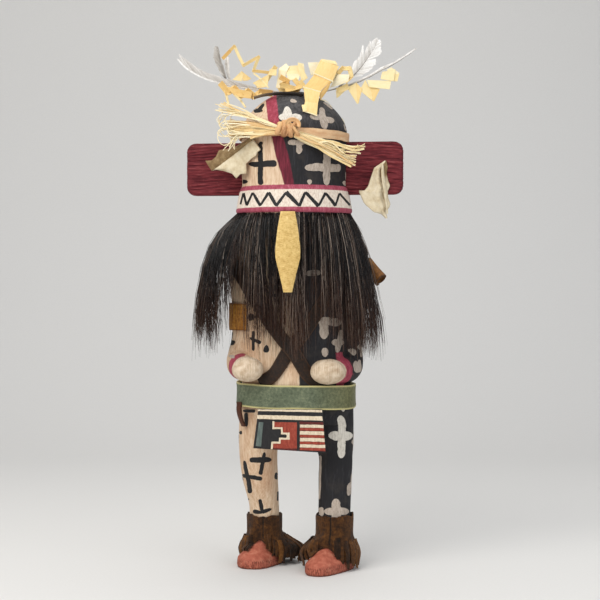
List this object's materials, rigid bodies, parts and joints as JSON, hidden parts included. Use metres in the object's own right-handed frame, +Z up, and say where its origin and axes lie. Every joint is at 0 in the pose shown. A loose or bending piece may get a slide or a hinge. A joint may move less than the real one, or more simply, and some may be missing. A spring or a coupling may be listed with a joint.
{
  "type": "kachina doll",
  "caption": "Carved, painted standing doll with a helmet mask, slab ears, horsehair beard, crossed straps, belt, sash panel, fringed cuffs and a crown of husk and feathers.",
  "frame": {"origin": "on the ground under the middle of the whole doll's box, soles at z = 0", "axes": "+Z up, the doll looks along -Y, +X to a viewer's right"},
  "size_m": [0.1162, 0.059, 0.2509],
  "materials": {
    "painted_wood": "matte",
    "ear_wood": "matte",
    "hide": "matte",
    "gilt_leather": "satin",
    "horsehair": "satin",
    "brown_leather": "matte",
    "green_leather": "satin",
    "ochre_leather": "matte",
    "suede": "matte",
    "sash_paint": "matte",
    "raffia": "matte",
    "cornhusk": "matte",
    "feather": "matte",
    "dark_thread": "matte"
  },
  "bodies": {
    "root": {"carved_figure": "painted_wood", "left_ear_slab": "ear_wood", "right_ear_slab": "ear_wood", "left_ear_pendant": "hide", "right_ear_pendant": "hide", "tongue_pendant": "gilt_leather", "horsehair_beard": "horsehair", "bandolier_under": "brown_leather", "bandolier_upper": "brown_leather", "belt": "green_leather", "arm_band": "ochre_leather", "leather_roll": "brown_leather", "sash_panel": "sash_paint", "left_cuff": "suede", "right_cuff": "suede", "raffia_tie": "raffia", "husk_headband": "cornhusk", "husk_zigzag_left": "cornhusk", "husk_fold_left": "cornhusk", "husk_cluster": "cornhusk", "husk_fold_front": "cornhusk", "husk_fold_right": "cornhusk", "feather_long_left": "feather", "feather_small_a": "feather", "feather_small_b": "feather", "feather_upright_right": "feather", "feather_long_right": "feather", "quill_binding": "dark_thread"}
  },
  "joints": []
}
